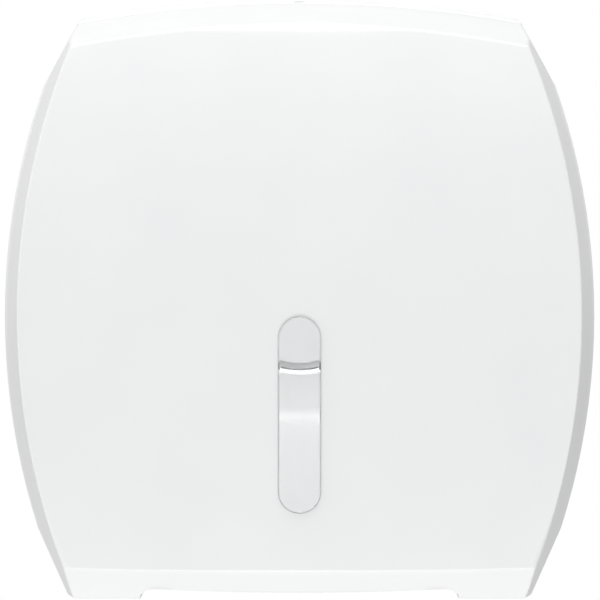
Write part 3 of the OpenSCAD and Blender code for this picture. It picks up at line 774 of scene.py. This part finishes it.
def make_face_rib(side):
    """One upright rib behind the face, with a rounded crest."""
    near, far = RIB_X
    root, shoulder, crest, soft = 2.8, 6.6, 7.0, 0.3
    z = np.linspace(-RIB_END_Z, RIB_END_Z, 60)
    section = (
        (near, root), (near, shoulder), (near + soft, crest),
        (far - soft, crest), (far, shoulder), (far, root),
    )
    rows = [metres(side * x + 0 * z, face_depth(z, inset), z) for x, inset in section]
    count = len(z)
    faces = []
    for r in range(len(rows) - 1):
        for c in range(count - 1):
            low, high = r * count + c, (r + 1) * count + c
            faces.append((low, low + 1, high + 1, high))
    for end in (0, count - 1):
        faces.append(tuple(r * count + end for r in range(len(rows))))
    name = "cover_face_rib_right" if side > 0 else "cover_face_rib_left"
    return mesh_object(name, np.concatenate(rows), faces, WHITE_INNER, "cover")


def make_stake(side, up):
    """One heat-formed stake with its domed head, behind the window's frame."""
    x = side * (WINDOW_W / 2 + LENS_FLANGE + RETAINER_RIM / 2)
    z = -WINDOW_DROP + up * WINDOW_H / 3
    face = float(face_depth(np.array(z), 0))
    # (radius, distance behind the face) of the stem, then of its head
    stem = [(0, 2.8), (1.5, 2.8), (1.5, 6.4)]
    head = [(2.3, 6.4), (2.5, 6.6), (2.4, 7.0), (1.9, 7.3), (1.0, 7.4), (0, 7.4)]
    profile = [(radius, face - behind) for radius, behind in stem + head]
    word = ("right" if side > 0 else "left") + ("_upper" if up > 0 else "_lower")
    return lathe(f"cover_stake_{word}", profile, (x, z), WHITE_INNER, "cover")


# The two corners of the lock's keeper, as x, depth, z
KEEPER = (-4, 19.3, 128.8), (4, 22.5, 135.6)


def make_cover():
    """The cover's shell, which is returned, and what is moulded on to it."""
    shell = make_front_cover()
    parts = [shell, rounded_block("cover_keeper", *KEEPER, WHITE_INNER, "cover", 0.3)]
    for side in (-1, 1):
        parts += [make_knuckle(side), make_face_rib(side)]
        parts += [make_stake(side, up) for up in (-1, 1)]
    for part in parts:
        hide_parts("front_cover")
    return shell


# ---- Sight window ----


def pill_columns():
    """Nearest axis height and outward direction round the window's pill, anticlockwise."""
    half_axis = (WINDOW_H - WINDOW_W) / 2
    turns = np.linspace(0, math.pi, 41)
    runs = np.linspace(-1, 1, 36)[1:-1] * half_axis
    nearest = np.concatenate([half_axis + 0 * turns, -runs, -half_axis + 0 * turns, runs])
    angle = np.concatenate([turns, math.pi + 0 * runs, math.pi + turns, 0 * runs])
    return nearest - WINDOW_DROP, np.cos(angle), np.sin(angle)


def sweep_pill(name, profile, material, body):
    """Sweeps (offset from the axis, depth behind the face) pairs round the window's pill."""
    nearest, across, up = pill_columns()
    rows = []
    for offset, behind in profile:
        z = nearest + offset * up
        rows.append(metres(offset * across, face_depth(z, behind), z))
    faces = loop_faces(len(rows), len(nearest), False)
    return mesh_object(name, np.concatenate(rows), faces, material, body)


def make_lens():
    """The clear lens: a pill that follows the face and stands proud of it, with a flange behind."""
    edge = SLOT_R - LENS_GAP
    seat = WALL + FIT_GAP
    flange = WINDOW_W / 2 + LENS_FLANGE
    back = seat + LENS_FLANGE_T
    front = [(offset, -LENS_PROUD) for offset in (0, 3, 6, 8, edge - LENS_EDGE_R - 0.1)]
    for turn in np.linspace(0, math.pi / 2, 6)[1:]:
        inward, rearward = LENS_EDGE_R * (1 - math.sin(turn)), LENS_EDGE_R * (1 - math.cos(turn))
        front.append((edge - inward, -LENS_PROUD + rearward))
    cut = 0.2
    rim = [
        (edge, 0.4), (edge, seat - cut), (edge + cut, seat), (flange - cut, seat),
        (flange, seat + cut), (flange, back - cut), (flange - cut, back),
    ]
    rear = [(offset, back) for offset in (flange - 1, 8, 4, 0)]  # flat, and ends on the axis
    lens = sweep_pill("lens", front + rim + rear, CLEAR, "cover")
    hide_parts("sight_window")


cover_shell = make_cover()
make_lens()

# ---- Camera, light and stage ----

CAMERA_PLACE = (0.0002, -4.125, 0)
FOCAL_LENGTH = 531.7
FLOOR_Z = -6.0
FLOOR_HALF = 26.0
FLOOR_GLOW = 0.3
LAMP_TARGET = (0, -0.1, 0)
# Each lamp's place, size and power
STUDIO = {
    "lamp_above": ((0, -0.4, 1.9), (1.8, 1.2), 35.2),
    "lamp_front": ((0, -1.9, 0.97), (1.8, 0.3), 4.6),
    "lamp_front_low": ((0, -1.9, -0.95), (1.8, 0.25), 1.7),
    "lamp_below": ((0, -0.9, -1.5), (1.8, 0.3), 13.0),
    "lamp_left": ((-1.9, -0.7, 0.3), (0.6, 1.4), 2.8),
    "lamp_left_high": ((-1.5, -0.8, 1.0), (1.0, 1.0), 1.8),
    "lamp_back_left": ((-1.6, 1.6, 0.6), (1.2, 1.2), 8.0),
    "lamp_back_right": ((1.6, 1.6, 0.6), (1.2, 1.2), 8.0),
}
# Behind the face: each lamp's place, target, size, power and spread in degrees
INSIDE = {
    "inside_glow": ((0, -0.115, -0.003), (0, 0, -0.003), (0.2, 0.17), 0.065, 180),
    "inside_rim": ((0, -0.112, -0.034), (0, -0.011, -0.031), (0.04, 0.004), 0.0002, 12),
    "inside_groove": ((0, -0.112, -0.0302), (0, -0.011, -0.0302), (0.04, 0.003), 0.00025, 8),
    "inside_low_left": ((-0.045, -0.095, -0.075), (0, -0.012, -0.075), (0.02, 0.05), 0.0145, 180),
    "inside_low_right": ((0.045, -0.095, -0.075), (0, -0.012, -0.075), (0.02, 0.05), 0.0145, 180),
}
# The sky's strength all round, and what it gains towards each direction
SKY_ALL_ROUND = 0.408
SKY = {("X", -1): 0.243, ("X", 1): 0.1, ("Z", -1): 0.31}


def make_camera():
    """The photograph's view: square-on, from far away."""
    data = bpy.data.cameras.new("camera")
    data.lens = FOCAL_LENGTH
    data.clip_start = 0.1
    data.clip_end = 50
    camera = bpy.data.objects.new("camera", data)
    camera.location = CAMERA_PLACE
    camera.rotation_euler = (math.pi / 2, 0, 0)
    bpy.context.scene.collection.objects.link(camera)
    bpy.context.scene.camera = camera


def area_light(name, place, target, size, power, spread=180):
    """A rectangular lamp that lights but isn't seen, neither straight nor through the lens."""
    data = bpy.data.lights.new(name, "AREA")
    data.shape = "RECTANGLE"
    data.size, data.size_y = size
    data.energy = power
    data.spread = math.radians(spread)
    light = bpy.data.objects.new(name, data)
    light.location = place
    light.rotation_euler = (Vector(target) - Vector(place)).to_track_quat("-Z", "Y").to_euler()
    light.visible_camera = False
    light.visible_transmission = False
    bpy.context.scene.collection.objects.link(light)
    return light


def make_world():
    """White behind the object; for its light, each direction of the sky has its own strength."""
    world = bpy.data.worlds.new("studio")
    world.use_nodes = True
    bpy.context.scene.world = world
    tree = world.node_tree
    sky = tree.nodes["Background"]
    sky.inputs["Color"].default_value = (1, 1, 1, 1)
    place = tree.nodes.new("ShaderNodeTexCoord")
    split = tree.nodes.new("ShaderNodeSeparateXYZ")
    tree.links.new(place.outputs["Generated"], split.inputs[0])

    total = SKY_ALL_ROUND
    for (axis, sign), strength in SKY.items():
        part = math_node(tree, "MULTIPLY", split.outputs[axis], sign * strength)
        total = math_node(tree, "ADD", math_node(tree, "MAXIMUM", part, 0.0), total)
    tree.links.new(total, sky.inputs["Strength"])
    plain = tree.nodes.new("ShaderNodeBackground")
    plain.inputs["Color"].default_value = (1, 1, 1, 1)
    ray = tree.nodes.new("ShaderNodeLightPath")
    mix = tree.nodes.new("ShaderNodeMixShader")
    tree.links.new(ray.outputs["Is Camera Ray"], mix.inputs[0])
    tree.links.new(sky.outputs[0], mix.inputs[1])
    tree.links.new(plain.outputs[0], mix.inputs[2])
    tree.links.new(mix.outputs[0], tree.nodes["World Output"].inputs["Surface"])


def make_floor():
    """Plain pale floor that shows behind the white object from above.

    It lies so low that only a far and steep view from below could start under it. A faint glow
    keeps it pale. It blocks no light, so light from below reaches the object."""
    mesh = bpy.data.meshes.new("floor")
    w, z = FLOOR_HALF, FLOOR_Z
    mesh.from_pydata([(-w, -w, z), (w, -w, z), (w, w, z), (-w, w, z)], [], [(0, 1, 2, 3)])
    floor = bpy.data.objects.new("floor", mesh)
    bpy.context.scene.collection.objects.link(floor)
    paint = plastic("pale_floor", (0.86, 0.86, 0.86), (0.88, 0.88, 0.88), 0.6, 1e-5)
    shader = paint.node_tree.nodes["Principled BSDF"]
    shader.inputs["Emission Color"].default_value = (1, 1, 1, 1)
    shader.inputs["Emission Strength"].default_value = FLOOR_GLOW
    mesh.materials.append(paint)
    floor.visible_shadow = False
    floor.visible_diffuse = False
    floor.visible_glossy = False
    floor.visible_transmission = False


def light_inside(cover):
    """Lamps behind the face, which ride on the cover.

    The glow and the low pair stand for the light that white plastic lets through. The two narrow
    beams have no real counterpart: they give the bright rim that the photograph shows."""
    for name, (place, target, size, power, spread) in INSIDE.items():
        area_light(name, place, target, size, power, spread).parent = cover


make_camera()
make_world()
make_floor()
for name, (place, size, power) in STUDIO.items():
    area_light(name, place, LAMP_TARGET, size, power)
light_inside(cover_shell)
bpy.context.scene.view_settings.view_transform = "Standard"

# ---- Pieces whose shape is already right: softened edges and their own finish ----

# Each node's material and the width of its softened edges
FINISH = {
    "back_plate": (WHITE_INNER, 0.4), "window_retainer": (WHITE_INNER, 0.3),
    "tear_blade_left": (STEEL_Y, 0.08), "tear_blade_right": (STEEL_Y, 0.08),
    "blade_rivets": (STEEL_X, 0.15),
    "hinge_pin_left": (STEEL_X, 0.3), "hinge_pin_right": (STEEL_X, 0.3),
    "spindle": (GREY, 0.3), "spindle_screws": (STEEL_X, 0.15), "thrust_washer": (GREY, 0.2),
    "hub": (WHITE_RING, 0.3), "hub_cap": (WHITE_INNER, 0.25), "core_adapter": (WHITE_RING, 0.4),
    "hub_washer": (STEEL_X, 0.2), "hub_screw": (STEEL_X, 0.15),
    "lock_barrel": (ZINC, 0.25), "lock_nut": (ZINC, 0.2), "lock_plug": (ZINC, 0.15),
    "lock_cam": (ZINC, 0.25), "cam_screw": (STEEL_X, 0.15),
}


def finish_node(name, material, width):
    """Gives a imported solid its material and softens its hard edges, by modifiers only."""
    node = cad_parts[name]
    node.data.materials.clear()
    node.data.materials.append(material)
    weld = node.modifiers.new("weld", "WELD")
    weld.merge_threshold = NODE_WELD
    soften = node.modifiers.new("soften", "BEVEL")
    soften.width = width * MM
    soften.segments = 2
    soften.limit_method = "ANGLE"
    soften.angle_limit = BEVEL_ANGLE
    soften.use_clamp_overlap = True


for name, (material, width) in FINISH.items():
    finish_node(name, material, width)
